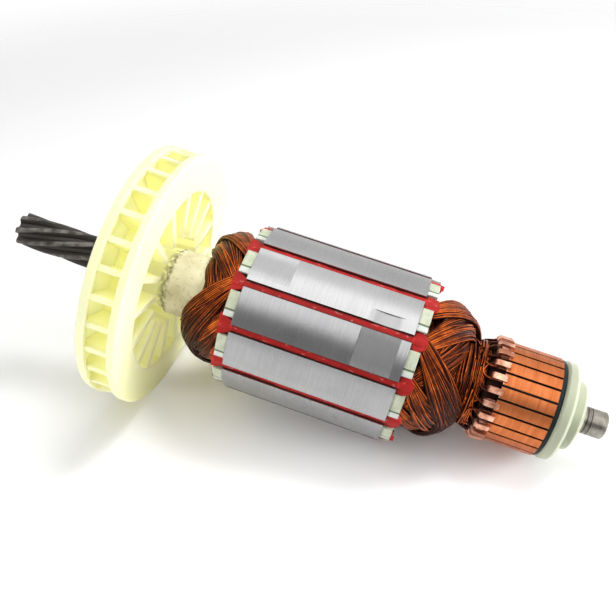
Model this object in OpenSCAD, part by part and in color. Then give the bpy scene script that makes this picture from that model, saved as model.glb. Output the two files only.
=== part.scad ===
// Motor armature: the wound rotor of a mains power tool.
// A twelve-slot laminated core is pressed on a stepped shaft with a helical
// pinion cut on its drive end. Twelve flyer-wound coils lie in the slots, and
// their leads are hooked to the twenty-four bars of a moulded commutator. A
// moulded fan and a dust washer close the two ends.
//
// The shaft axis is +X, and +X points to the commutator end. The origin is on
// the axis, where the bearing journal beside the commutator begins.

/* [Shaft] */
// Diameter of the journal beside the commutator
journal_d = 8; // [7:0.5:9]
// Length of the journal beside the commutator, with its chamfer
journal_len = 5.1; // [4:0.1:12]
// Chamfer on the journal's end
journal_chamfer = 0.4; // [0.2:0.1:0.8]
// Bare neck between the washer and the journal
neck_len = 1.7; // [1.2:0.1:4]
// Width of the relief groove in the neck
groove_w = 0.5; // [0.3:0.1:0.8]
// Depth of the relief groove
groove_depth = 0.3; // [0.1:0.05:0.6]
// Diameter of the seat under the commutator and the washer
com_seat_d = 10; // [9.5:0.5:11]
// Diameter of the seat under the core and the fan
core_seat_d = 14; // [13:0.5:15]
// Diameter of the journal at the drive end
drive_journal_d = 12; // [11:0.5:12.5]
// Length of the journal at the drive end
drive_journal_len = 10; // [8:0.5:14]
// Length of the bearing shoulder between the fan and the drive end journal
shoulder_len = 2; // [1:0.2:10]
// Length of the relieved neck before the pinion
pinion_neck_len = 1.5; // [1.2:0.1:5]

/* [Pinion] */
// Number of helical teeth
pinion_teeth = 7; // [6:1:8]
// Diameter over the teeth
pinion_d = 10.4; // [9:0.2:10.8]
// Diameter between the teeth
pinion_root_d = 6.9; // [6:0.1:7.4]
// Length of the toothed end
pinion_len = 26.1; // [18:0.1:30]
// Turn of the teeth along the pinion, in degrees for each millimetre
pinion_turn = 3.7; // [2:0.1:4.5]

/* [Core] */
// Diameter of the core
core_d = 50; // [49:0.5:54]
// Length of the stack of laminations
core_len = 47; // [35:0.5:60]
// Width of the mouth of each slot
slot_mouth = 2.2; // [1.8:0.1:2.8]
// Width of each tooth behind its tip
tooth_w = 5; // [4.6:0.1:5.4]
// Thickness of the tooth tips over the slot
tooth_lip = 1.3; // [1:0.1:1.6]
// Radius of the bottom of each slot
slot_floor_r = 13; // [12.5:0.1:13.5]
// Angle of the first slot from the row's Y axis
slot_phase = 7.5; // [0:0.1:30]
// Depth of the balance cuts
balance_depth = 0.6; // [0.2:0.1:0.9]
// Length of the balance cuts
balance_len = 11; // [6:0.5:14]
// Distance of the balance cuts from the end of the core
balance_inset = 2.7; // [1:0.1:5]

/* [Insulation] */
// Thickness of the insulators on the ends of the core
insulator_t = 3; // [2:0.1:4]
// Step from the core's surface down to the end insulators
insulator_drop = 0.6; // [0.3:0.1:1.2]
// Outer diameter of the sleeve between the core and the fan
sleeve_d = 20.2; // [18:0.2:21]
// Outer diameter of the tube between the core and the commutator
tube_d = 17.2; // [15:0.2:17.6]
// Thickness of the slot liners
liner_t = 0.25; // [0.15:0.05:0.35]
// Width of the slot wedges
wedge_w = 5.2; // [4.8:0.1:5.4]
// Thickness of the slot wedges
wedge_t = 1.1; // [0.8:0.1:1.2]
// Length of the wedges past the end of the core
wedge_out = 4.2; // [3.4:0.1:6]

/* [Winding] */
// Height of the winding over the insulator on the commutator side
com_wind_h = 16.6; // [14:0.2:20]
// Height of the winding over the insulator on the drive side
drive_wind_h = 15; // [13:0.2:18]
// Radius of the winding beside the slots
wind_r = 21.3; // [20.4:0.1:21.8]
// Width of each bundle where it passes the shaft
bundle_w = 8; // [5:0.2:9]
// Diameter of the leads to the commutator
lead_d = 0.84; // [0.6:0.02:0.86]

/* [Commutator] */
// Number of copper bars
bar_count = 24; // [24:2:24]
// Diameter of the commutator
com_d = 29; // [28.4:0.1:30]
// Length of the bars
bar_len = 15.2; // [12:0.2:20]
// Depth of the bars
bar_depth = 3.5; // [3:0.1:4]
// Width of the slit between two bars
bar_gap = 0.65; // [0.5:0.05:0.8]
// Depth of the slit above the resin
slit_depth = 0.8; // [0.5:0.1:1]
// Angle of the first bar from the row's Y axis
bar_phase = 6.2; // [0:0.1:15]
// Width of the hooks
hook_w = 1.7; // [1.5:0.1:1.9]
// Thickness of the hooks
hook_t = 0.85; // [0.7:0.05:0.95]
// Reach of the hooks past the bars toward the winding
hook_reach = 3.6; // [3:0.1:4.5]
// Length of each hook's tip lying on its bar
hook_lap = 1; // [0.6:0.1:2]
// Length of the resin ring past the bars
ring_len = 1.4; // [1:0.1:3]
// Space between the winding and the hooks
lead_len = 3.5; // [3:0.1:6]

/* [Dust washer] */
// Diameter of the washer's flange
washer_d = 28.8; // [27:0.2:30]
// Thickness of the washer's flange
washer_t = 3.6; // [2.5:0.1:5]
// Diameter of the washer's boss
washer_boss_d = 20; // [17:0.5:23]
// Thickness of the washer's boss
washer_boss_t = 3.7; // [2:0.1:5]
// Height of the cone from the boss to the shaft
washer_cone_t = 1.6; // [0.8:0.1:2.4]

/* [Fan] */
// Diameter of the fan
fan_d = 77.8; // [74:0.2:84]
// Width of the fan
fan_w = 11.8; // [10.6:0.2:14]
// Space between the winding and the fan
fan_gap = 7.3; // [4:0.1:12]
// Number of blades
blade_count = 30; // [24:2:36]
// Angle of the first blade, in degrees
blade_phase = 1; // [0:0.5:12]
// Thickness of the blades
blade_t = 1.6; // [1:0.1:1.8]
// Lean of the blades from straight out, in degrees
blade_lean = 0; // [0:1:40]
// Width of the ring that joins the blade tips
tip_ring_w = 2.6; // [1.6:0.1:3]
// Thickness of that ring
tip_ring_t = 2; // [1.4:0.1:2.6]
// Thickness of the fan's rim plate
rim_t = 2.4; // [1.8:0.1:3]
// Radius where the rim plate ends and the pockets begin
pocket_r = 28; // [26:0.5:31]
// Depth of the pockets
pocket_depth = 8; // [3:0.2:8.2]
// Thickness of the floor of the pockets
floor_t = 1.6; // [1.2:0.1:2]
// Number of ribs between the pockets
rib_count = 16; // [12:1:20]
// Angle of the first rib, in degrees
rib_phase = 11; // [0:0.5:22]
// Thickness of the ribs
rib_t = 1.8; // [1:0.1:2]
// Radius of the hub
hub_r = 9.2; // [8.4:0.1:10]
// Width of the ring-shaped gap around the hub
hub_gap = 4; // [2:0.2:5]

/* [Hidden] */
$fn = 96;
slot_count = 12;
slot_step = 360 / slot_count;
half_step = slot_step / 2;
coil_steps = slot_count / 2;
coil_span = slot_step * 5;
clear = 0.03;

// Stations along the shaft, from the commutator end to the drive end
washer_x1 = -neck_len;
washer_x0 = washer_x1 - washer_cone_t - washer_boss_t - washer_t;
bar_x1 = washer_x0 - ring_len;
bar_x0 = bar_x1 - bar_len;
hook_x0 = bar_x0 - hook_reach;
com_wind_x = hook_x0 - lead_len;
core_x1 = com_wind_x - com_wind_h - insulator_t;
core_x0 = core_x1 - core_len;
drive_wind_x = core_x0 - insulator_t - drive_wind_h;
fan_x1 = drive_wind_x - fan_gap;
fan_x0 = fan_x1 - fan_w;
drive_journal_x1 = fan_x0 - shoulder_len;
drive_journal_x0 = drive_journal_x1 - drive_journal_len;
pinion_x1 = drive_journal_x0 - pinion_neck_len;
pinion_x0 = pinion_x1 - pinion_len;

// Radii and widths of the slots and of what lies in them
core_r = core_d / 2;
mouth_r = core_r - tooth_lip;
wedge_r1 = mouth_r - clear;
wedge_r0 = wedge_r1 - wedge_t;
slot_top_r = wedge_r0 - clear;
leg_gap = 0.1;
leg_r0 = slot_floor_r + liner_t + 0.35;
leg_r1 = slot_top_r - clear;
leg_rm = (leg_r0 + leg_r1) / 2;

// The winding's layers are nested domes that start beside the slots
wind_foot_t = 5.2;
wind_core_h = 6.5;
wind_floor_r = leg_r0 + 0.2;
wind_floor_h = 2.5;
bundle_flare_a = 14;
bundle_bend = 1.4;
coil_parts = 3;
coil_stations = 18;
layer_gap = 0.06;
com_wind_r0 = tube_d / 2 + 0.2;
drive_wind_r0 = sleeve_d / 2 + 0.2;
foot_out = 0.3;

com_r = com_d / 2;
bar_r0 = com_r - bar_depth;
bar_step = 360 / bar_count;
hook_gap_r = lead_d / 2 + clear;
hook_r = com_r + 0.02 - hook_gap_r;
hook_x = hook_x0 + hook_gap_r + hook_t;
slit_r = com_r - slit_depth;

// Names of the repeated pieces
function two(i) = str(i < 10 ? "0" : "", i);
function coil_name(i) = str("coil_", two(i + 1));
function wedge_name(i) = str("slot_wedge_", two(i + 1));
function bar_name(i) = str("commutator_bar_", two(i + 1));

// Half width of a slot at radius r: its walls are parallel to the teeth
function slot_half(r) = r * tan(half_step) - tooth_w / 2 / cos(half_step);
function leg_half(r) = slot_half(r) - liner_t - 0.2;
function slot_angle(i) = slot_phase + i * slot_step;
function bar_angle(i) = bar_phase + i * bar_step;
function mix(a, b, t) = a + (b - a) * t;

// Turns a drawing's Z to the shaft axis, so that its X is the row's Y
module on_axis(x) {
    translate([x, 0, 0]) rotate([90, 0, 90]) children();
}

// Lays a profile of [x, radius] points on its side at one angle, t thick
module at_angle(angle, t) {
    rotate([angle, 0, 0]) translate([0, 0, -t / 2]) linear_extrude(t) children();
}

// A turned shape from [x, radius] points
module turned(points) {
    rotate([0, 90, 0]) rotate_extrude() polygon([for (p = points) [p[1], p[0]]]);
}

// Shaft: one bar, turned to its seats, with the pinion cut on its end
module shaft() {
    journal_r = journal_d / 2;
    seat_r = com_seat_d / 2;
    core_seat_r = core_seat_d / 2;
    color("dimgray") {
        turned([
            [pinion_x1 - 1, 0],
            [pinion_x1 - 1, pinion_root_d / 2 - 0.3],
            [pinion_x1, pinion_root_d / 2 - 0.3],
            [pinion_x1, pinion_root_d / 2 + 0.8],
            [drive_journal_x0, pinion_root_d / 2 + 0.8],
            [drive_journal_x0, drive_journal_d / 2 - journal_chamfer],
            [drive_journal_x0 + journal_chamfer, drive_journal_d / 2],
            [drive_journal_x1, drive_journal_d / 2],
            [drive_journal_x1, core_seat_r],
            [core_x1 + insulator_t, core_seat_r],
            [core_x1 + insulator_t, seat_r],
            [washer_x1 - washer_cone_t, seat_r],
            [washer_x1 - washer_cone_t, journal_r],
            [-groove_w, journal_r],
            [-groove_w, journal_r - groove_depth],
            [0, journal_r - groove_depth],
            [0, journal_r],
            [journal_len - journal_chamfer, journal_r],
            [journal_len, journal_r - journal_chamfer],
            [journal_len, 0]
        ]);
        pinion();
    }
}

// One side of a tooth as [share of the tooth's pitch, share of its height]
PINION_SIDE = [[0.5, 0], [0.34, 0.06], [0.25, 0.5], [0.16, 0.94]];

module pinion() {
    pitch = 360 / pinion_teeth;
    root_r = pinion_root_d / 2;
    height = pinion_d / 2 - root_r;
    left = [for (p = PINION_SIDE) [-p[0], p[1]]];
    right = [for (i = [len(PINION_SIDE) - 1 : -1 : 1]) PINION_SIDE[i]];
    side = concat(left, [[0, 1]], right);
    on_axis(pinion_x0)
        linear_extrude(pinion_len, twist = pinion_turn * pinion_len, slices = 20)
            polygon([for (i = [0 : pinion_teeth - 1], p = side)
                let (a = (i + p[0]) * pitch, r = root_r + height * p[1])
                [r * cos(a), r * sin(a)]]);
}

// Fan: a moulded rim plate on a pocketed web, with blades on the drive side
// whose tips are joined by a ring
module fan() {
    fan_r = fan_d / 2;
    wall_t = rib_t;
    floor_x = fan_x1 - pocket_depth - floor_t;
    color("ivory") {
        difference() {
            turned([
                [fan_x0, core_seat_d / 2],
                [fan_x0, hub_r],
                [floor_x, hub_r + 1],
                [floor_x, pocket_r + wall_t],
                [fan_x1 - rim_t, pocket_r + wall_t],
                [fan_x1 - rim_t, fan_r],
                [fan_x1 - 0.5, fan_r],
                [fan_x1, fan_r - 0.5],
                [fan_x1, pocket_r],
                [floor_x + floor_t, pocket_r - 0.8],
                [floor_x + floor_t, hub_r],
                [fan_x1 - 0.5, hub_r],
                [fan_x1 - 0.5, core_seat_d / 2]
            ]);
        }
        turned([
            [fan_x0, fan_r - tip_ring_t],
            [fan_x0, fan_r - 0.5],
            [fan_x0 + tip_ring_w, fan_r - 0.2],
            [fan_x0 + tip_ring_w, fan_r - tip_ring_t]
        ]);
        for (i = [0 : rib_count - 1])
            at_angle(rib_phase + i * 360 / rib_count, rib_t)
                polygon([
                    [floor_x + floor_t / 2, hub_r + hub_gap],
                    [floor_x + floor_t / 2, pocket_r + wall_t / 2],
                    [fan_x1 - 0.3, pocket_r + wall_t / 2],
                    [fan_x1 - 0.3, hub_r + hub_gap + 1]
                ]);
        for (i = [0 : blade_count - 1])
            rotate([blade_phase + i * 360 / blade_count, 0, 0])
                translate([0, fan_r - 0.5, 0])
                    at_angle(-blade_lean, blade_t)
                        polygon([
                            [floor_x + floor_t / 2, 5 + hub_r + hub_gap - fan_r],
                            [fan_x0 + 1, 9 + hub_r + hub_gap - fan_r],
                            [fan_x0 + 0.3, -5.5],
                            [fan_x0 + 0.3, -0.3],
                            [fan_x1 - rim_t / 2, -0.3],
                            [fan_x1 - rim_t / 2, pocket_r + wall_t / 2 - fan_r],
                            [floor_x + floor_t / 2, pocket_r + wall_t / 2 - fan_r]
                        ]);
    }
}

// Sleeve of moulded insulation on the shaft between the core and the fan
module shaft_sleeve() {
    color("seashell")
        turned([
            [fan_x1 - 0.5, core_seat_d / 2],
            [fan_x1 - 0.5, sleeve_d / 2 - 0.6],
            [fan_x1 + 0.1, sleeve_d / 2],
            [core_x0 - insulator_t, sleeve_d / 2],
            [core_x0 - insulator_t, core_seat_d / 2]
        ]);
}

// Slot: tapered walls beside the teeth, a round bottom and a narrow mouth
module slot_shape() {
    bottom = slot_half(slot_floor_r);
    top = slot_half(slot_top_r);
    polygon([
        [slot_floor_r, -bottom],
        [slot_top_r, -top],
        [mouth_r, -wedge_w / 2 - 0.15],
        [mouth_r, -slot_mouth / 2],
        [core_r + 1, -slot_mouth / 2],
        [core_r + 1, slot_mouth / 2],
        [mouth_r, slot_mouth / 2],
        [mouth_r, wedge_w / 2 + 0.15],
        [slot_top_r, top],
        [slot_floor_r, bottom]
    ]);
}

// Core: a stack of stamped steel sheets, with cuts that balance the rotor
module lamination_stack() {
    color("silver")
        difference() {
            on_axis(core_x0)
                linear_extrude(core_len)
                    difference() {
                        circle(core_r);
                        circle(core_seat_d / 2);
                        for (i = [0 : slot_count - 1]) rotate(slot_angle(i)) slot_shape();
                    }
            balance_flat(4.5, core_x1 - balance_inset - balance_len, balance_len, balance_depth);
            balance_flat(3.45, core_x0 - 1, balance_len + 1.5, balance_depth * 0.7);
            balance_dish();
        }
}

// A flat milled across one tooth, len long, from station x
module balance_flat(tooth, x, len, depth) {
    rotate([slot_angle(tooth), 0, 0])
        translate([x, core_r - depth, -core_r / 2])
            cube([len, depth + 1, core_r]);
}

// A shallow hollow left by a grinding wheel
module balance_dish() {
    wheel_r = 20;
    rotate([slot_angle(3.8), 0, 0])
        translate([core_x1 - balance_inset - balance_len / 2 + 0.5, core_r + wheel_r - balance_depth, -2])
            cylinder(r = wheel_r, h = 4);
}

// End insulator: a toothed plate that keeps the wire off the steel
module insulator_plate(x) {
    hw = wedge_w / 2 + 0.15;
    color("honeydew")
        on_axis(x)
            linear_extrude(insulator_t)
                difference() {
                    circle(core_r - insulator_drop);
                    circle(core_seat_d / 2);
                    for (i = [0 : slot_count - 1])
                        rotate(slot_angle(i))
                            polygon([
                                [slot_floor_r, -slot_half(slot_floor_r)],
                                [slot_top_r, -slot_half(slot_top_r)],
                                [slot_top_r, -hw],
                                [core_r, -hw],
                                [core_r, hw],
                                [slot_top_r, hw],
                                [slot_top_r, slot_half(slot_top_r)],
                                [slot_floor_r, slot_half(slot_floor_r)]
                            ]);
                }
}

module drive_end_insulator() {
    insulator_plate(core_x0 - insulator_t);
}

// The commutator side has a tube on the shaft under the winding as well
module commutator_end_insulator() {
    insulator_plate(core_x1);
    color("honeydew")
        turned([
            [core_x1 + insulator_t, com_seat_d / 2],
            [core_x1 + insulator_t, tube_d / 2],
            [hook_x0 - 0.4, tube_d / 2],
            [hook_x0 - 0.4, com_seat_d / 2]
        ]);
}

// Slot liners: folded insulating paper in each slot
module slot_liners() {
    color("tomato")
        for (i = [0 : slot_count - 1])
            on_axis(core_x0 - insulator_t)
                linear_extrude(core_len + 2 * insulator_t)
                    rotate(slot_angle(i))
                        difference() {
                            liner_shape(clear, slot_top_r - clear);
                            liner_shape(clear + liner_t, slot_top_r + 1);
                        }
}

module liner_shape(inset, top) {
    bottom = slot_floor_r + inset;
    polygon([
        [bottom, inset - slot_half(bottom)],
        [top, inset - slot_half(top)],
        [top, slot_half(top) - inset],
        [bottom, slot_half(bottom) - inset]
    ]);
}

// Slot wedge: a strip of fibre under the tooth tips, with one round end and
// one forked end that stand out past the core
module slot_wedge(i) {
    tab_r = wedge_w / 2;
    hw = tab_r - 0.15;
    x1 = core_x1 + wedge_out - tab_r;
    x0 = core_x0 - wedge_out + 0.3;
    color("crimson")
        rotate([slot_angle(i), 0, 0])
            translate([0, wedge_r0, 0])
                rotate([-90, 0, 0]) {
                    translate([x1, 0, 0]) cylinder(r = tab_r, h = wedge_t);
                    linear_extrude(wedge_t)
                        polygon([
                            [x1, -hw],
                            [core_x0, -hw],
                            [core_x0 - insulator_t / 2, -hw * 0.7],
                            [x0, -tab_r],
                            [x0 + 1.1, -hw * 0.3],
                            [x0 + 0.5, 0],
                            [x0 + 1.1, hw * 0.3],
                            [x0, tab_r],
                            [core_x0 - insulator_t / 2, hw * 0.7],
                            [core_x0, hw],
                            [x1, hw]
                        ]);
                }
}

// Coils. Each pair of coils is wound over the pair before it, one slot back, so
// the end turns lie in layers, each a dome over the last. A point of a bundle
// is given by its layer, its share of the way from slot to slot, from -1 to
// 1, and its share of the bundle's width, from 0 beside the shaft to 1.
function dome_foot(k) =
    k < 0 ? wind_floor_r : wind_r - wind_foot_t * (1 - (k + 0.5) / coil_steps);
function dome_height(k, h) =
    k < 0 ? wind_floor_h : mix(wind_core_h, h, (k + 0.5) / coil_steps);

function bundle_point(k, t, w, r0, h) =
    let (foot_r = dome_foot(k),
         foot_a = atan(leg_half(foot_r) / foot_r),
         spread = mix(foot_a, bundle_flare_a, 1 - t * t),
         top_a = acos(min(0.9, bundle_w * w / (foot_r - r0))),
         climb = top_a * (1 - pow(abs(t), bundle_bend)))
    [dome_height(k, h) * sin(climb),
     r0 + (foot_r - r0) * cos(climb),
     t * (coil_span / 2 + spread * (1 - 2 * w))];

// Cross-section of a bundle in the end turns, as a loop of points
function bundle_ring(step, t, r0, h, x, side, mid_a) =
    let (k = [step - 0.5 + layer_gap, step + 0.5 - layer_gap],
         order = concat([for (i = [0 : coil_parts]) [1, i]],
                        [for (i = [coil_parts : -1 : 0]) [0, i]]))
    [for (o = order)
        let (p = bundle_point(k[o[0]], t, o[1] / coil_parts, r0, h), a = mid_a + p[2])
        [x + side * (foot_out + p[0]), p[1] * cos(a), p[1] * sin(a)]];

// Cross-section of a coil's leg in its slot, in the same order of points
function leg_ring(outer, x, a, dir) =
    let (r = outer ? [leg_rm + leg_gap, leg_r1] : [leg_r0, leg_rm - leg_gap],
         order = concat([for (i = [0 : coil_parts]) [1, i]],
                        [for (i = [coil_parts : -1 : 0]) [0, i]]))
    [for (o = order)
        let (u = r[o[0]],
             v = dir * leg_half(u) * (2 * o[1] / coil_parts - 1))
        [x, u * cos(a) - v * sin(a), u * sin(a) + v * cos(a)]];

module coil(i) {
    step = i % coil_steps;
    first = slot_angle((i < coil_steps ? coil_steps : slot_count) - 3 - step);
    last = first + coil_span;
    mid = first + coil_span / 2;
    ts = [for (j = [0 : coil_stations]) -cos(180 * j / coil_stations)];
    rings = concat(
        [leg_ring(step > 0, core_x1, first, 1)],
        [for (t = ts) bundle_ring(step, t, com_wind_r0, com_wind_h, core_x1 + insulator_t - foot_out, 1, mid)],
        [leg_ring(step == coil_steps - 1, core_x1, last, -1)],
        [leg_ring(step == coil_steps - 1, core_x0, last, -1)],
        [for (t = ts)
            bundle_ring(step, -t, drive_wind_r0, drive_wind_h, core_x0 - insulator_t + foot_out, -1, mid)],
        [leg_ring(step > 0, core_x0, first, 1)]
    );
    n = len(rings[0]);
    m = len(rings);
    faces = [for (a = [0 : m - 1], b = [0 : n - 1], h = [0, 1])
        let (a1 = (a + 1) % m, b1 = (b + 1) % n)
        h == 0 ? [a * n + b, a * n + b1, a1 * n + b1] : [a * n + b, a1 * n + b1, a1 * n + b]];
    color("sienna") polyhedron([for (r = rings, p = r) p], faces);
}

// Leads: each runs from the winding between two hooks and through one hook
module coil_leads() {
    start_r = com_wind_r0 + 2;
    color("sienna")
        for (i = [0 : bar_count - 1])
            rotate([bar_angle(i), 0, 0]) {
                side = hook_w / 2 + lead_d / 2 + 0.15;
                a = [com_wind_x + 0.2, start_r, side];
                b = [hook_x, hook_r, side];
                d = b - a;
                translate(a)
                    rotate([0, 0, atan2(d[1], d[0])])
                        rotate([0, 90, 0])
                            cylinder(d = lead_d, h = norm(d));
                translate(b) sphere(d = lead_d * 1.12);
                translate(b) rotate([180, 0, 0]) cylinder(d = lead_d, h = side + hook_w / 2 + 0.2);
            }
}

// Commutator bar: a copper segment with its tang folded back over the lead
module commutator_bar(i) {
    color("peru")
        rotate([bar_angle(i), 0, 0]) {
            rotate([90, 0, 90])
                translate([0, 0, bar_x0])
                    linear_extrude(bar_len) bar_section();
            at_angle(0, hook_w) hook_profile();
        }
}

module bar_section() {
    reach = com_r + 1;
    half = reach * sin(bar_step / 2);
    back = bar_gap / 2 / sin(bar_step / 2);
    intersection() {
        difference() {
            circle(com_r);
            circle(bar_r0);
        }
        translate([back, 0]) polygon([[0, 0], [reach, -reach * tan(bar_step / 2)], [reach, reach * tan(bar_step / 2)]]);
    }
}

module hook_profile() {
    outer_r = hook_gap_r + hook_t;
    difference() {
        translate([hook_x, hook_r]) circle(outer_r);
        translate([hook_x, hook_r]) circle(hook_gap_r);
        translate([hook_x, hook_r - outer_r - 1]) square([outer_r + 1, 2 * outer_r + 2]);
    }
    translate([hook_x, hook_r - outer_r]) square([bar_x0 + 0.5 - hook_x, hook_t]);
    polygon([
        [hook_x, hook_r + hook_gap_r],
        [hook_x, hook_r + outer_r],
        [bar_x0 + hook_lap - 0.3, com_r + hook_t],
        [bar_x0 + hook_lap, com_r + hook_t - 0.3],
        [bar_x0 + hook_lap, com_r - 0.02],
        [bar_x0, com_r - 0.02]
    ]);
}

// Commutator hub: the resin that holds the bars, with fins in the slits
module commutator_hub() {
    flange_r = hook_r - hook_gap_r - hook_t - 0.1;
    color("#1b1b1d") {
        turned([
            [hook_x0 - 0.4, com_seat_d / 2],
            [hook_x0 - 0.4, flange_r - 0.8],
            [hook_x0 + 0.4, flange_r],
            [bar_x0, flange_r],
            [bar_x0, bar_r0],
            [bar_x1, bar_r0],
            [bar_x1, com_r - 0.3],
            [washer_x0 - 0.6, com_r - 0.3],
            [washer_x0, com_r - 0.9],
            [washer_x0, com_seat_d / 2]
        ]);
        for (i = [0 : bar_count - 1])
            rotate([bar_angle(i + 0.5), 0, 0])
                translate([bar_x0 - 0.3, bar_r0 - 0.2, -bar_gap / 2])
                    cube([bar_len + 0.6, slit_r - bar_r0 + 0.2, bar_gap]);
    }
}

// Dust washer: a stepped disc between the commutator and the bearing
module dust_washer() {
    flange_r = washer_d / 2;
    boss_r = washer_boss_d / 2;
    step_x = washer_x0 + washer_t;
    boss_x = step_x + washer_boss_t;
    color("mintcream")
        turned([
            [washer_x0, com_seat_d / 2],
            [washer_x0, flange_r - 0.7],
            [washer_x0 + 0.7, flange_r],
            [step_x - 0.9, flange_r],
            [step_x, flange_r - 0.9],
            [step_x + 0.5, boss_r + 0.4],
            [step_x + 0.9, boss_r],
            [boss_x - 0.6, boss_r],
            [boss_x, boss_r - 0.6],
            [washer_x1, journal_d / 2 + 0.8],
            [washer_x1, journal_d / 2],
            [washer_x1 - washer_cone_t, journal_d / 2],
            [washer_x1 - washer_cone_t, com_seat_d / 2]
        ]);
}

shaft();
fan();
shaft_sleeve();
lamination_stack();
drive_end_insulator();
commutator_end_insulator();
slot_liners();
coil_leads();
commutator_hub();
dust_washer();
for (i = [0 : slot_count - 1]) {
    coil(i);
    slot_wedge(i);
}
for (i = [0 : bar_count - 1])
    commutator_bar(i);
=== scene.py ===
# Motor armature of a mains power tool: a wound and slotted core on a steel
# shaft, with a helical pinion and a moulded fan at one end, and a commutator
# with a dust washer at the other. Lengths are in metres, +X runs along the
# shaft to the commutator end.
import math
import random

import bpy
import numpy as np
from mathutils import Matrix, Vector, noise


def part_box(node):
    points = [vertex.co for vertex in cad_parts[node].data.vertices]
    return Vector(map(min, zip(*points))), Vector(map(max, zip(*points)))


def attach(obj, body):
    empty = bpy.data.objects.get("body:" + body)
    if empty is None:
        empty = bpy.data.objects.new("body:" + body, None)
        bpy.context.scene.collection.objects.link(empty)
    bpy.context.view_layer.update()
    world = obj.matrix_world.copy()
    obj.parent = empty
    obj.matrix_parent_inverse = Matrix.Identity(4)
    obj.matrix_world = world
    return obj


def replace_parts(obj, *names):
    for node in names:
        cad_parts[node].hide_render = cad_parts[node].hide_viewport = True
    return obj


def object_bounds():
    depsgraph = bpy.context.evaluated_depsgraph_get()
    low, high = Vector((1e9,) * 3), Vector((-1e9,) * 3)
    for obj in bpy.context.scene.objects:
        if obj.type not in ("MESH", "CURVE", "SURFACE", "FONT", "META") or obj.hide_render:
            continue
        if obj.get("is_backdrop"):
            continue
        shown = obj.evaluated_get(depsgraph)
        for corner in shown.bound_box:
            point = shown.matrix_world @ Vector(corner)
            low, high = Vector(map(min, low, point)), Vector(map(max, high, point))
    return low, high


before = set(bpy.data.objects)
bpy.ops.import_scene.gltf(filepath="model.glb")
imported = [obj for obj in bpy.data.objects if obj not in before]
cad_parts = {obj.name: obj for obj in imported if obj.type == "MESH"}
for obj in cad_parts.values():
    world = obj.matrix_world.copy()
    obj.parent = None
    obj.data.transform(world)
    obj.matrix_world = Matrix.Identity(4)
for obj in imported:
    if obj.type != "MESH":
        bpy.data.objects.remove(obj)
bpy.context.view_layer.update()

scene = bpy.context.scene
scene.view_settings.view_transform = "Standard"


# ---------------------------------------------------------------- studio
# A pale table top carries the armature, which touches it with the rim of the
# fan and the near edge of the core. Soft lamps light it, and cards that only
# polished faces mirror stand round it.
class Socket:
    """One socket of a material. Sums on it add Math nodes."""

    def __init__(self, tree, socket=None):
        self.tree = tree
        self.socket = socket

    def node(self, kind, settings=None, values=None, out=0):
        made = self.tree.nodes.new("ShaderNode" + kind)
        for name, value in (settings or {}).items():
            setattr(made, name, value)
        for name, value in (values or {}).items():
            target = made.inputs[name]
            if isinstance(value, Socket):
                self.tree.links.new(value.socket, target)
            elif isinstance(value, tuple) and len(value) == 3 and target.type == "RGBA":
                target.default_value = (*value, 1)
            else:
                target.default_value = value
        return Socket(self.tree, made.outputs[out]) if made.outputs else None

    def math(self, operation, other=0.0):
        return self.node("Math", {"operation": operation}, {0: self, 1: other})

    def __add__(self, other):
        return self.math("ADD", other)

    def __sub__(self, other):
        return self.math("SUBTRACT", other)

    def __rsub__(self, other):
        return self.node("Math", {"operation": "SUBTRACT"}, {0: other, 1: self})

    def __mul__(self, other):
        return self.math("MULTIPLY", other)

    def __truediv__(self, other):
        return self.math("DIVIDE", other)

    def __pow__(self, other):
        return self.math("POWER", other)

    __radd__ = __add__
    __rmul__ = __mul__

    def step(self, low, high):
        """0 below low and 1 above high, smooth between."""
        return self.node(
            "MapRange",
            {"interpolation_type": "SMOOTHSTEP"},
            {"Value": self, "From Min": low, "From Max": high},
        )

    def mixed(self, first, second):
        """first where this is 0 and second where it is 1, both colours."""
        return self.node(
            "Mix", {"data_type": "RGBA"}, {0: self, 6: first, 7: second}, out=2
        )


def new_material(name):
    material = bpy.data.materials.new(name)
    material.use_nodes = True
    material.node_tree.nodes.clear()
    return material, Socket(material.node_tree)


def finish_with(tree, shader):
    tree.node("OutputMaterial", None, {"Surface": shader})


def seen_rays(tree):
    """1 for the rays that show a thing, and 0 for those that light one."""
    rays = tree.node("LightPath", out="Is Camera Ray")
    rays = rays + tree.node("LightPath", out="Is Glossy Ray")
    rays = rays + tree.node("LightPath", out="Is Transmission Ray")
    return rays.math("MINIMUM", 1.0)


scene.camera = bpy.data.objects.new("camera", bpy.data.cameras.new("camera"))
scene.collection.objects.link(scene.camera)
scene.camera.data.sensor_width = 36
scene.camera.data.lens = 43.83
scene.camera.data.clip_start = 0.01
view_from = Vector((-0.059186, -0.169816, 0.141773))
view_right = Vector((0.940664, 0.287221, 0.180708))
view_up = Vector((-0.31815, 0.561243, 0.76406))
view_back = Vector((0.118033, -0.776216, 0.61932))
view_turn = Matrix((view_right, view_up, view_back)).transposed().to_4x4()
scene.camera.matrix_world = Matrix.Translation(view_from) @ view_turn

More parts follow.
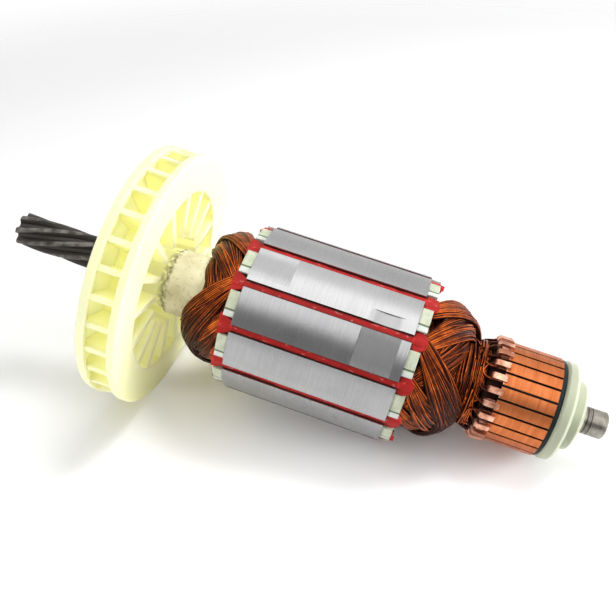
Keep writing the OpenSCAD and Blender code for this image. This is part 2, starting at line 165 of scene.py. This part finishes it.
rim_round = 0.0005
table_gap = 0.0001
table_half = 3
table_fades_from = 0.32
table_gone_at = 0.62
fan_low, fan_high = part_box("fan")
core_low, core_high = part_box("lamination_stack")
rim_at = Vector((fan_high.x - rim_round, 0, fan_low.z))
edge_at = Vector((core_high.x, 0, core_low.z))
table_along = (edge_at - rim_at).normalized()
table_across = Vector((0, 1, 0))
table_up = table_along.cross(table_across).normalized()
table_mid = rim_at + 0.5 * (edge_at - rim_at) - table_gap * table_up
table_mesh = bpy.data.meshes.new("table")
table_mesh.from_pydata(
    [table_mid + table_half * (a * table_along + b * table_across)
     for a, b in ((-1, -1), (1, -1), (1, 1), (-1, 1))],
    [],
    [(0, 1, 2, 3)],
)
table = bpy.data.objects.new("table", table_mesh)
scene.collection.objects.link(table)
table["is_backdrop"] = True
table_material, tree = new_material("table_top")
top = tree.node("BsdfDiffuse", None, {"Color": (0.93, 0.93, 0.94)})
lift = tree.node("Emission", None, {"Color": (1, 1, 1), "Strength": 0.04 * seen_rays(tree)})
lit = tree.node("AddShader", None, {0: top, 1: lift})
below = tree.node("NewGeometry", out="Backfacing")
table_place = tree.node("TexCoord", out="Object")
far_off = tree.node("VectorMath", {"operation": "LENGTH"}, {0: table_place}, out=1)
open_air = below.math("MAXIMUM", far_off.step(table_fades_from, table_gone_at))
clear = tree.node("BsdfTransparent")
finish_with(tree, tree.node("MixShader", None, {0: open_air, 1: lit, 2: clear}))
table_mesh.materials.append(table_material)

scene.world = bpy.data.worlds.new("studio")
scene.world.use_nodes = True
scene.world.node_tree.nodes.clear()
tree = Socket(scene.world.node_tree)
white = {"Color": (1, 1, 1), "Strength": 0.17 + 0.83 * seen_rays(tree)}
tree.node("OutputWorld", None, {"Surface": tree.node("Background", None, white)})


def card(name, low, high, level):
    """A panel that only polished faces mirror, between two of its corners."""
    made = bpy.data.objects.new(name, bpy.data.meshes.new(name))
    right_low, left_high = (high[0], low[1], low[2]), (low[0], high[1], high[2])
    made.data.from_pydata([low, right_low, high, left_high], [], [(0, 1, 2, 3)])
    paint, tree = new_material(name + "_paint")
    finish_with(tree, tree.node("Emission", None, {"Color": (1, 1, 1), "Strength": level}))
    made.data.materials.append(paint)
    scene.collection.objects.link(made)
    made.visible_camera = False
    made.visible_diffuse = False
    made.visible_transmission = False
    made.visible_shadow = False
    made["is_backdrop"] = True


card("dark_flag", (-1.3, -0.75, 0.0), (1.1, -0.75, 0.57), 0.34)
card("grey_backdrop", (-1.5, 0.9, -0.3), (1.3, 0.9, 0.85), 0.95)
card("pale_ceiling", (-1.3, 0.9, 0.86), (1.1, -0.05, 1.05), 1.35)


def lamp(name, place, aim, size, power, mirrored=False):
    """A round lamp. Only a mirrored one shows in the polished faces."""
    light = bpy.data.lights.new(name, "AREA")
    light.shape = "DISK"
    light.size = size
    light.energy = power
    made = bpy.data.objects.new(name, light)
    made.location = place
    made.rotation_euler = (Vector(aim) - Vector(place)).to_track_quat("-Z", "Y").to_euler()
    made.visible_camera = False
    made.visible_glossy = mirrored
    scene.collection.objects.link(made)


core_spot = (-0.08, 0, 0)
fan_spot = (-0.13, 0, 0)
lamp("softbox", (-0.16, -0.26, 0.72), core_spot, 0.95, 2.8, mirrored=True)
lamp("side_fill", (0.6, 0.1, 0.3), fan_spot, 0.4, 7.5)
lamp("fan_fill", (-0.42, -0.34, 0.03), fan_spot, 0.12, 0.9)
lamp("top_fill", (-0.02, 0.26, 0.85), core_spot, 0.35, 4.0)


# ---------------------------------------------------------------- shaft
# One bar of hardened steel. The journals are ground, the end at the
# commutator is bare and bright, and the pinion, hobbed from the same bar, is
# phosphated nearly black, with its tooth crests rubbed lighter.
def shaft_place(tree):
    """Millimetres along the shaft and away from it, turns round it."""
    place = tree.node("TexCoord", out="Object")
    x, y, z = [
        tree.node("SeparateXYZ", None, {"Vector": place}, out=axis) * 1000.0 for axis in "XYZ"
    ]
    away = (y * y + z * z) ** 0.5
    around = z.math("ARCTAN2", y) / math.tau
    return x, away, around


def speckle(tree, size, stretch=(1, 1, 1), detail=3.0, seed=0.0):
    """Cloudy noise from 0 to 1, with clouds of that size in millimetres."""
    place = tree.node("TexCoord", out="Object")
    pulled = tree.node(
        "VectorMath", {"operation": "MULTIPLY"}, {0: place, 1: tuple(1 / s for s in stretch)}
    )
    return tree.node(
        "TexNoise",
        {"noise_dimensions": "4D"},
        {"Vector": pulled, "W": seed, "Scale": 1000.0 / size, "Detail": detail},
    )


def surface(tree, values, height=None, depth=0.0, edge=0.0):
    """The finish itself: height stands up by depth, and edges are eased."""
    normal = tree.node("Bevel", {"samples": 4}, {"Radius": edge}) if edge else None
    if height:
        bumped = {"Height": height, "Distance": depth}
        if normal:
            bumped["Normal"] = normal
        normal = tree.node("Bump", None, bumped)
    if normal:
        values["Normal"] = normal
    finish_with(tree, tree.node("BsdfPrincipled", None, values))


def dress(node, material):
    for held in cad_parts[node].material_slots:
        held.link = "OBJECT"
        held.material = material


pinion_neck_x = -150.0
pinion_start_x = -151.2
steel, tree = new_material("ground_and_phosphated_steel")
along, away, _ = shaft_place(tree)
rings = speckle(tree, 4.0, (0.02, 1, 1), 4.0)
grime = speckle(tree, 2.5, seed=3.0)
on_pinion = along.step(pinion_neck_x, pinion_start_x)
crest = away.step(4.7, 5.2) * grime.step(0.35, 0.7)
dark = crest.mixed((0.046, 0.040, 0.035), (0.18, 0.166, 0.148))
bright = grime.step(0.3, 0.75).mixed((0.20, 0.185, 0.155), (0.36, 0.34, 0.295))
groove_mark = along.step(-1.1, -0.9) - along.step(-0.6, -0.4)
bearing_mark = along.step(0.2, 0.35) - along.step(0.6, 0.75)
ground = (0.8 * (groove_mark + bearing_mark)).mixed(bright, (0.03, 0.024, 0.018))
surface(
    tree,
    {
        "Base Color": on_pinion.mixed(ground, dark),
        "Metallic": 1.0 - 0.35 * on_pinion,
        "Roughness": 0.2 + 0.16 * rings + 0.2 * on_pinion,
    },
    rings,
    0.00006,
    0.00015,
)
dress("shaft", steel)


# ---------------------------------------------------------------- fan
# Moulded in natural nylon, whose thin walls let light through, and pressed on
# the shaft. Thirty blades run out to a ring at their tips, with a thin web
# between them, and a ring of ribbed pockets lightens the front. Near the rim
# the walls also carry a painted glow.
nylon, tree = new_material("natural_nylon")
along, away, _ = shaft_place(tree)
clouds = speckle(tree, 14.0, detail=2.0)
grime = speckle(tree, 1.6, detail=5.0, seed=5.0)
stained = away.step(11.6, 10.3) * along.step(-129.0, -127.2) * grime.step(0.36, 0.54)
cream = clouds.mixed((0.95, 0.93, 0.48), (0.95, 0.94, 0.58))
# Painted glow: the thin walls near the rim emit the nylon's cream colour, though the fan is no
# lamp.
painted_glow_walls = away.step(37.4, 35.5) * along.step(-126.4, -127.6)
surface(
    tree,
    {
        "Base Color": (0.75 * stained).mixed(cream, (0.26, 0.23, 0.10)),
        "Roughness": 0.42 + 0.12 * clouds,
        "Subsurface Weight": 0.8,
        "Subsurface Radius": (1.0, 0.9, 0.5),
        "Subsurface Scale": 0.005,
        "Emission Color": painted_glow_walls.mixed((0.0, 0.0, 0.0), (0.95, 0.93, 0.50)),
        "Emission Strength": 0.12,
    },
    grime,
    0.00002,
    0.0003,
)
dress("fan", nylon)


def add_piece(name, points, faces, material, smooth=True):
    mesh = bpy.data.meshes.new(name)
    mesh.from_pydata([tuple(p) for p in points], [], faces)
    mesh.update()
    mesh.materials.append(material)
    if smooth:
        mesh.polygons.foreach_set("use_smooth", [True] * len(mesh.polygons))
    piece = bpy.data.objects.new(name, mesh)
    scene.collection.objects.link(piece)
    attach(piece, "root")
    return piece


web_profile = [(-0.1350, 0.0285), (-0.1372, 0.0370), (-0.1365, 0.0373), (-0.1343, 0.0288)]
web_sides = 120
points = [
    (x, r * math.cos(math.tau * side / web_sides), r * math.sin(math.tau * side / web_sides))
    for side in range(web_sides)
    for x, r in web_profile
]
faces = []
for side in range(web_sides):
    here, beyond = side * 4, (side + 1) % web_sides * 4
    for a in range(4):
        b = (a + 1) % 4
        faces.append((here + a, here + b, beyond + b, beyond + a))
add_piece("fan_web", points, faces, nylon, False)


# ---------------------------------------------------------------- sleeve
# A rough off-white moulding round the shaft, between the fan and the core. It
# keeps the winding off the steel, and is blotched with varnish and dust.
sleeve_white, tree = new_material("sleeve_moulding")
along, _, _ = shaft_place(tree)
blotch = speckle(tree, 5.0, detail=6.0, seed=2.0)
specks = speckle(tree, 1.1, detail=4.0, seed=8.0)
near_fan = along.step(-124.6, -126.2)
dirty = (near_fan * specks.step(0.35, 0.6) + 0.35 * specks.step(0.56, 0.7)).math("MINIMUM", 1.0)
ivory = blotch.step(0.3, 0.7).mixed((0.70, 0.65, 0.46), (0.92, 0.88, 0.70))
surface(
    tree,
    {"Base Color": dirty.mixed(ivory, (0.22, 0.18, 0.10)), "Roughness": 0.6},
    blotch + 0.4 * specks,
    0.0004,
    0.0003,
)
dress("shaft_sleeve", sleeve_white)


# ---------------------------------------------------------------- core
# Stamped sheets of silicon steel, half a millimetre thick, pressed on the
# shaft as one stack and turned to size, so fine lines run round it. Hollows
# are milled in some teeth to balance the rotor.
slot_count = 12
slot_phase = 7.5
slot_pitch = 360 / slot_count
milled_r = 24.6
turned_r = 24.9


def teeth_past(around):
    """Teeth counted round the core: whole in the middle of each slot."""
    return around * slot_count - slot_phase / slot_pitch


lamination, tree = new_material("turned_laminations")
_, away, around = shaft_place(tree)
sheets = speckle(tree, 8.0, (0.035, 1, 1), 2.0)
fine = speckle(tree, 6.0, (0.012, 1, 1), 4.0, seed=4.0)
patches = speckle(tree, 9.0, (2.0, 1, 1), 3.0, seed=7.0)
tooth = tree.node(
    "TexWhiteNoise", {"noise_dimensions": "1D"}, {"W": teeth_past(around).math("FLOOR")}
)
tone = (0.35 * sheets + 0.35 * patches + 0.3 * tooth).step(0.25, 0.75)
# Milled hollows are darker: partly their own milled finish, partly painted shade in the hollow.
milled_and_shaded = away.step(turned_r, milled_r) * away.step(23.4, 23.7)
bright = tone.mixed((0.28, 0.28, 0.285), (0.42, 0.42, 0.42))
surface(
    tree,
    {
        "Base Color": (0.7 * milled_and_shaded).mixed(bright, (0.25, 0.25, 0.255)),
        "Metallic": 1.0,
        "Roughness": 0.2 + 0.12 * fine + 0.06 * patches,
    },
    0.7 * sheets + 0.3 * fine,
    0.00008,
    0.0001,
)
dress("lamination_stack", lamination)


# ---------------------------------------------------------------- insulation
# Toothed end plates of pale fibre board keep the wire off the steel, and a
# moulded tube covers the shaft under the winding. Red paper lines the slots.
fibre, tree = new_material("pale_fibre")
along, away, around = shaft_place(tree)
mottle = speckle(tree, 2.0, detail=4.0, seed=1.0)
layers = speckle(tree, 6.0, (0.05, 1, 1), 2.0, seed=6.0)
from_tooth = (teeth_past(around) + 0.02 * mottle).math("FRACT") * slot_pitch - slot_pitch / 2
seam = from_tooth.step(3.4, 3.8) * from_tooth.step(5.0, 4.6) * away.step(20.0, 21.0)
soaked = along.step(-50.5, -49.5).math("MAXIMUM", away.step(19.5, 17.5))
cloudy = (0.6 * mottle + 0.4 * layers).step(0.3, 0.7)
plate = cloudy.mixed((0.42, 0.46, 0.32), (0.60, 0.62, 0.49))
plate = from_tooth.step(4.4, 5.4).mixed(plate, (0.62, 0.65, 0.60))
plate = seam.mixed(plate, (0.10, 0.15, 0.08))
surface(
    tree,
    {
        "Base Color": soaked.mixed(plate, (0.05, 0.02, 0.01)),
        "Roughness": 0.5,
    },
    mottle + layers - seam,
    0.00012,
    0.0006,
)
for node in ("drive_end_insulator", "commutator_end_insulator"):
    dress(node, fibre)

paper, tree = new_material("red_slot_paper")
mottle = speckle(tree, 1.0, detail=4.0)
surface(
    tree,
    {"Base Color": mottle.mixed((0.30, 0.02, 0.015), (0.50, 0.05, 0.03)), "Roughness": 0.7},
    mottle,
    0.00005,
)
dress("slot_liners", paper)


# ---------------------------------------------------------------- wedges
# Strips of red vulcanised fibre, driven in under the tooth tips to close the
# slots. Each ends in a round tab at the commutator side and in a torn fork at
# the drive side. Their edges are scuffed, and a rib of each shows in the mouth.
red, tree = new_material("red_vulcanised_fibre")
along, away, around = shaft_place(tree)
scuffs = speckle(tree, 0.9, (2.5, 1, 1), 4.0)
stains = speckle(tree, 5.0, detail=3.0, seed=2.0)
from_slot = (teeth_past(around) + 0.5).math("FRACT") * slot_pitch - slot_pitch / 2
lateral = (from_slot * away).math("ABSOLUTE") * math.radians(1)
in_core = along.step(-101.4, -100.6) * along.step(-53.2, -54.0)
# Painted shade: inside the core, the sides of each strip under the tooth tips are painted dark,
# broken up by the stains.
painted_mouth_shade = lateral.step(0.58, 0.80) * in_core * (0.5 + stains).math("MINIMUM", 1.0)
pink = scuffs.step(0.58, 0.70) * away.step(23.7, 24.0) * (1 - painted_mouth_shade)
worn = (0.5 * pink).mixed(
    stains.mixed((0.30, 0.009, 0.008), (0.45, 0.017, 0.014)), (0.85, 0.40, 0.34)
)
surface(
    tree,
    {
        "Base Color": painted_mouth_shade.mixed(worn, (0.10, 0.012, 0.008)),
        "Roughness": 0.5 + 0.2 * scuffs,
        "Specular IOR Level": 0.25,
    },
    scuffs,
    0.00014,
)

core_r = core_high.z
wedge_steps = 84
wedge_floor_r = 0.0226
wedge_half = 0.00244
eased_edge = 0.0002
eased_drop = 0.00014
flat_in_core_r = 0.02362
rib_half = 0.00104
rib_ease = 0.0001
rib_crown = 0.00008
rib_below_core = 0.00075
tab_r = 0.00268
tab_neck_half = 0.0013
fork_len = 0.0022
for index in range(slot_count):
    low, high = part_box(f"slot_wedge_{index + 1:02d}")
    pick = random.Random(40 + index)
    x0, x1 = low.x, high.x
    tab_x = x1 - tab_r
    tilt = pick.uniform(-0.12, 0.12)
    fork = pick.uniform(0.0007, 0.0013)
    rows = []
    for step in range(wedge_steps + 1):
        share = 0.5 - 0.5 * math.cos(math.pi * step / wedge_steps) if step < wedge_steps else 1
        x = x0 + (x1 - x0) * share
        if x > core_high.x:
            round_off = math.sqrt(max(0.0, tab_r * tab_r - (x - tab_x) ** 2))
            half = max(0.0003, round_off, tab_neck_half if x < tab_x else 0.0)
            rib, rib_r, flat_r = 0.45 * half, 0.02385, 0.02370
        elif x < core_low.x:
            half = 0.0015 + 0.0013 * min(1, (core_low.x - x) / 0.0024)
            rib, rib_r, flat_r = 0.4 * half, 0.02380, 0.02366
        else:
            wave = noise.noise(Vector((x * 260, index * 3.1, 5)))
            half, rib, flat_r = wedge_half, rib_half, flat_in_core_r
            rib_r = core_r - rib_below_core + 0.00025 * wave
        half += 0.00016 * noise.noise(Vector((x * 1100, index * 7.3, 0)))
        side = [
            (wedge_floor_r, half),
            (flat_r - eased_drop, half),
            (flat_r, half - eased_edge),
            (flat_r, rib),
            (rib_r - rib_ease, rib),
            (rib_r, rib * 0.75),
        ]
        crown = [(x, rib_r + rib_crown, 0.0)]
        other_side = [(x, r, across) for r, across in reversed(side)]
        rows.append([(x, r, -across) for r, across in side] + crown + other_side)
    turn = Matrix.Rotation(math.radians(slot_phase + slot_pitch * index), 3, "X")
    size = len(rows[0])
    points = []
    for x, r, across in (p for row in rows for p in row):
        torn = max(0.0, 1 - (x - x0) / fork_len)
        if torn:
            notch = max(0.0, 1 - abs(across) / 0.0016)
            ragged = abs(noise.noise(Vector((across * 1900, index * 5.7, 2))))
            x += torn * (fork * notch + 0.0005 * ragged)
        bent = max(0.0, x - tab_x) * tilt
        points.append(turn @ Vector((x, r - abs(bent) * 0.3, across)))
    faces = []
    for a in range(0, wedge_steps * size, size):
        for b in range(size):
            c = (b + 1) % size
            faces.append((a + b, a + c, a + size + c, a + size + b))
    faces.append(tuple(range(size)))
    faces.append(tuple(wedge_steps * size + b for b in reversed(range(size))))
    piece = add_piece(f"fibre_wedge_{index + 1:02d}", points, faces, red, False)
    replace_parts(piece, f"slot_wedge_{index + 1:02d}")


# ---------------------------------------------------------------- winding
# Twelve coils of enamelled copper wire, thrown in by two flyers at once. Each
# pair crosses over the pair before it, one slot back, so the end turns build
# into a dome at each end. The turns are dipped in brown varnish.
coil_layers = 6
slots_spanned = 5

# In millimetres, here and in the leads. The commutator's end of the core has
# the sign 1 and the drive end -1.
insulator_t = 3
core_face = {1: core_high.x * 1000 + insulator_t, -1: core_low.x * 1000 - insulator_t}
neck_r = {1: 8.8, -1: 10.3}
dome_h = {1: 16.6, -1: 15.0}
lowest_rise = 6.5
outer_foot_r = 21.3
foot_drop = 5.2
bundle_w = 8
widest_spread = 14
tooth_half = 2.5
leg_clearance = 0.45
wire_r = 0.37
wire_sides = 7


def slot_side(r):
    """Degrees from a slot's middle to its leg's side at radius r."""
    half_pitch = math.radians(slot_pitch / 2)
    half = r * math.tan(half_pitch) - tooth_half / math.cos(half_pitch) - leg_clearance
    return math.degrees(math.atan(half / r))


def bundle_point(layer, t, w, end):
    """Height over the end, radius and angle of a place in a bundle: t runs
    from -1 to 1 along it and w from 0 to 1 across it."""
    share = (layer + 0.5) / coil_layers
    foot_r = outer_foot_r - foot_drop * (1 - share)
    rise = lowest_rise + (dome_h[end] - lowest_rise) * share
    spread = slot_side(foot_r) + (widest_spread - slot_side(foot_r)) * (1 - t * t)
    span_r = foot_r - neck_r[end]
    top = math.acos(max(0.0, min(0.9, bundle_w * w / span_r)))
    climb = top * (1 - abs(t) ** 1.4)
    return (
        rise * math.sin(climb),
        neck_r[end] + span_r * math.cos(climb),
        t * (slots_spanned * slot_pitch / 2 + spread * (1 - 2 * w)),
    )


def place_at(x, r, angle):
    """A place in metres, from millimetres and an angle in radians."""
    return (x / 1000, r * math.cos(angle) / 1000, r * math.sin(angle) / 1000)


class Strands:
    """Wires gathered in one mesh. crest says how far a point faces out of
    the bundle, where the enamel paints a bright line along each wire, partly
    copper under thin varnish and partly a painted highlight. shade is each
    wire's own tone, kept low in the lower row as painted shade."""

    def __init__(self):
        self.points, self.faces, self.crest, self.shade = [], [], [], []

    def wire(self, path, outward, radius, shade):
        line = np.array(path)
        run = np.gradient(line, axis=0)
        run /= np.linalg.norm(run, axis=1)[:, None]
        side = np.cross(run[0], (0.3, 0.5, 0.81))
        start = len(self.points)
        for here, way, out in zip(line, run, outward):
            side = side - way * side.dot(way)
            side /= np.linalg.norm(side)
            other = np.cross(way, side)
            for corner in range(wire_sides):
                angle = math.tau * corner / wire_sides
                push = math.cos(angle) * side + math.sin(angle) * other
                self.points.append(here + radius * push)
                self.crest.append(max(0.0, float(push.dot(out))))
                self.shade.append(shade)
        last = len(self.points) - wire_sides
        for a in range(start, last, wire_sides):
            for b in range(wire_sides):
                c = (b + 1) % wire_sides
                beyond = a + wire_sides
                self.faces.append((a + b, a + c, beyond + c, beyond + b))
        self.faces.append(tuple(start + b for b in reversed(range(wire_sides))))
        self.faces.append(tuple(last + b for b in range(wire_sides)))

    def finish(self, name):
        piece = add_piece(name, self.points, self.faces, enamel)
        for label, values in (("crest", self.crest), ("shade", self.shade)):
            layer = piece.data.attributes.new(label, "FLOAT", "POINT")
            layer.data.foreach_set("value", values)
        return piece


enamel, tree = new_material("enamelled_copper_wire")
crest = tree.node("Attribute", {"attribute_name": "crest"}, out="Fac")
shade = tree.node("Attribute", {"attribute_name": "shade"}, out="Fac")
tint = speckle(tree, 4.0, detail=2.0)
dirt = speckle(tree, 1.6, detail=4.0, seed=4.0)
# Painted highlight and shade: each wire is bright copper along the line that faces out of the
# bundle, whatever the light, and dark down its sides. This is partly thin and pooled varnish and
# partly painted light.
bare_crest_and_highlight = (crest + 0.14 * tint + 0.10 * shade - 0.12).step(0.83, 1.0)
bare_crest_and_highlight = bare_crest_and_highlight * (0.55 + 0.45 * dirt.step(0.62, 0.44))
highlight_copper = (0.5 * tint + 0.5 * shade).step(0.2, 0.7).mixed((0.40, 0.050, 0.008), (0.86, 0.18, 0.026))
dark = shade.mixed((0.011, 0.0018, 0.0008), (0.045, 0.005, 0.0016))
surface(
    tree,
    {
        "Base Color": bare_crest_and_highlight.mixed(dark, highlight_copper),
        "Metallic": 0.25 + 0.6 * bare_crest_and_highlight,
        "Roughness": 0.3 + 0.15 * dirt,
        "Specular IOR Level": 0.15,
    },
    dirt,
    0.00002,
)

# The body under the wires is nearly black: partly dark dipping varnish, partly painted shade in
# the gaps between the wires.
varnish_and_gap_shade, tree = new_material("dark_varnish_and_gap_shade")
dirt = speckle(tree, 0.8, detail=4.0, seed=4.0)
surface(
    tree,
    {"Base Color": dirt.mixed((0.010, 0.004, 0.003), (0.04, 0.012, 0.006)), "Roughness": 0.55},
    dirt,
    0.0001,
)

strand_steps = 28
top_wires = 13
under_wires = 12
tail_len = 4
coil_axis_r = 12
for index in range(12):
    pick = random.Random(100 + index)
    layer = index % coil_layers
    first_slot = (6 if index < 6 else 12) - 3 - layer
    middle = slot_phase + slot_pitch * (first_slot + slots_spanned / 2)
    strands = Strands()
    for end in (1, -1):
        # Each wire's place across the bundle, height in its layer, and shade. The lower row gets
        # low shades: painted shade under the wires on top.
        wires = [(0.02 + 0.98 * n / 12, 0.42, 0.3 + 0.7 * pick.random()) for n in range(top_wires)]
        wires += [(0.06 + 0.98 * n / 12, 0.05, 0.25 * pick.random()) for n in range(under_wires)]
        wires += [(1.04, 0.15, 0.5), (1.03, -0.15, 0.4), (1.02, -0.4, 0.3)]
        wires += [(pick.uniform(0.1, 0.95), 0.62, pick.uniform(0.5, 1)) for _ in range(3)]
        for across, height, shade in wires:
            phase = pick.uniform(0, 100)
            sway = pick.uniform(0.02, 0.09) if height < 0.6 else pick.uniform(0.15, 0.3)
            path, outward = [], []
            for step in range(strand_steps + 1):
                t = -math.cos(math.pi * step / strand_steps)
                w = across + sway * noise.noise(Vector((phase, 1.3 * t, 0))) * 2
                level = layer + height + 0.14 * noise.noise(Vector((phase, 2.1 * t, 9)))
                rise, r, angle = bundle_point(level, t, min(1.06, max(-0.02, w)), end)
                a = math.radians(middle + angle)
                path.append(place_at(core_face[end] + end * rise, r, a))
                away_r = r - coil_axis_r
                out = Vector((end * rise, away_r * math.cos(a), away_r * math.sin(a)))
                outward.append(tuple(out.normalized()))
                if step == 0:
                    leg_out = (0, math.cos(a), math.sin(a))
            # Both ends of the wire go on straight down into the slots.
            down = end * tail_len / 1000
            path.insert(0, (path[0][0] - down, path[0][1], path[0][2]))
            outward.insert(0, leg_out)
            path.append((path[-1][0] - down, path[-1][1], path[-1][2]))
            outward.append(outward[-1])
            strands.wire(path, outward, wire_r / 1000, shade)
    strands.finish(f"coil_turns_{index + 1:02d}")
    dress(f"coil_{index + 1:02d}", varnish_and_gap_shade)


# ---------------------------------------------------------------- leads
# The ends of the coils. They wrap part of the way round the neck of the
# winding and then turn along the shaft, two under each commutator hook.
# More turns of the coils lie round the neck below them.
bar_count = 24
bar_pitch = 360 / bar_count
bar_phase = 6.2
hook_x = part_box("coil_leads")[1].x * 1000 - 0.4
hook_r = 14.0
neck_turns = 130
wrap_steps = 22


def wrap(start, stop, x_from, x_to, r_from, r_to, late, phase):
    """A wire round the shaft between two angles, along the shaft at its end."""
    path, outward = [], []
    for step in range(wrap_steps + 1):
        s = step / wrap_steps
        turned = 1 - (1 - s) ** 1.8
        moved = s ** late
        x_wave = 0.35 * noise.noise(Vector((phase, 3 * s, 1))) * (1 - s)
        r_wave = 0.3 * noise.noise(Vector((phase, 2.4 * s, 3))) * (1 - s)
        a = math.radians(start + (stop - start) * turned)
        x = x_from + (x_to - x_from) * moved + x_wave
        r = r_from + (r_to - r_from) * moved + r_wave
        path.append(place_at(x, r, a))
        outward.append((0, math.cos(a), math.sin(a)))
    return path, outward


leads = Strands()
pick = random.Random(5)
for bar in range(bar_count):
    hook = bar_phase + bar_pitch * bar
    for twin in (0, 1):
        sweep = pick.uniform(55, 100) if twin else -pick.uniform(25, 60)
        aim = hook + (3.9 if twin else -1.2)
        path, outward = wrap(
            aim - sweep, aim,
            pick.uniform(-34.6, -32.4), hook_x,
            pick.uniform(11.4, 12.6), hook_r,
            7.0 if twin else 4.0, pick.uniform(0, 50),
        )
        leads.wire(path, outward, wire_r * 0.95 / 1000, pick.uniform(0.3, 1))
for turn in range(neck_turns):
    start = pick.uniform(0, 360)
    span = pick.uniform(70, 150)
    near = pick.uniform(-40.5, -32.4)
    far = near + pick.uniform(0.5, 2.5)
    flare = 0.06 * abs(near + 36)
    path, outward = wrap(
        start, start + span,
        near, min(far, -31.5),
        pick.uniform(10.4, 11.8) + flare, pick.uniform(10.6, 12.0) + flare,
        1.2, pick.uniform(0, 50),
    )
    leads.wire(path, outward, wire_r / 1000, pick.uniform(0, 1))
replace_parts(leads.finish("hooked_leads"), "coil_leads")


# ---------------------------------------------------------------- commutator
# Twenty-four hard copper bars moulded in black resin, then turned true. The
# tang of each bar is folded back and hot-pressed on its wires, which leaves
# it pale and pinkish. Fins of resin fill the bottoms of the slits.
copper, tree = new_material("turned_copper")
along, away, _ = shaft_place(tree)
rings = speckle(tree, 7.0, (0.012, 1, 1), 4.0)
bands = speckle(tree, 9.0, (0.12, 1, 1), 3.0, seed=3.0)
film = speckle(tree, 3.0, detail=4.0, seed=9.0)
on_hook = along.step(-26.6, -27.4).math("MAXIMUM", away.step(14.6, 14.8))
# Painted shade: the sides of the bars down in the slits are painted nearly black.
painted_slit_shade = away.step(14.44, 14.26) * along.step(-27.4, -27.0)
lines = (0.5 * rings + 0.5 * bands).step(0.3, 0.7)
turned = lines.mixed((0.44, 0.115, 0.032), (0.66, 0.21, 0.075))
pressed = film.step(0.35, 0.65).mixed((0.42, 0.16, 0.09), (0.92, 0.52, 0.37))
surface(
    tree,
    {
        "Base Color": painted_slit_shade.mixed(on_hook.mixed(turned, pressed), (0.05, 0.018, 0.010)),
        "Metallic": 1.0,
        "Roughness": 0.27 + 0.14 * rings + 0.08 * film,
    },
    rings,
    0.00006,
    0.00022,
)
for bar in range(bar_count):
    dress(f"commutator_bar_{bar + 1:02d}", copper)

resin, tree = new_material("black_resin")
grain = speckle(tree, 1.0, detail=4.0)
along, _, _ = shaft_place(tree)
near_hooks = along.step(-26.2, -27.6)
black = grain.mixed((0.006, 0.009, 0.010), (0.020, 0.027, 0.029))
varnished = grain.mixed((0.008, 0.003, 0.002), (0.03, 0.010, 0.006))
surface(
    tree,
    {
        "Base Color": near_hooks.mixed(black, varnished),
        "Roughness": 0.38 + 0.3 * near_hooks,
        "Specular IOR Level": 0.12,
    },
    grain,
    0.00003,
    0.0002,
)
dress("commutator_hub", resin)


# ---------------------------------------------------------------- washer
# A stepped disc of milky nylon between the commutator and the bearing, which
# keeps carbon dust out of the bearing. It is pushed on the shaft.
milky, tree = new_material("milky_nylon")
clouds = speckle(tree, 6.0, detail=3.0)
surface(
    tree,
    {
        "Base Color": clouds.mixed((0.37, 0.40, 0.28), (0.49, 0.51, 0.385)),
        "Roughness": 0.35,
        "Subsurface Weight": 0.5,
        "Subsurface Radius": (0.8, 0.9, 0.7),
        "Subsurface Scale": 0.002,
    },
    clouds,
    0.00003,
    0.0004,
)
dress("dust_washer", milky)


low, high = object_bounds()
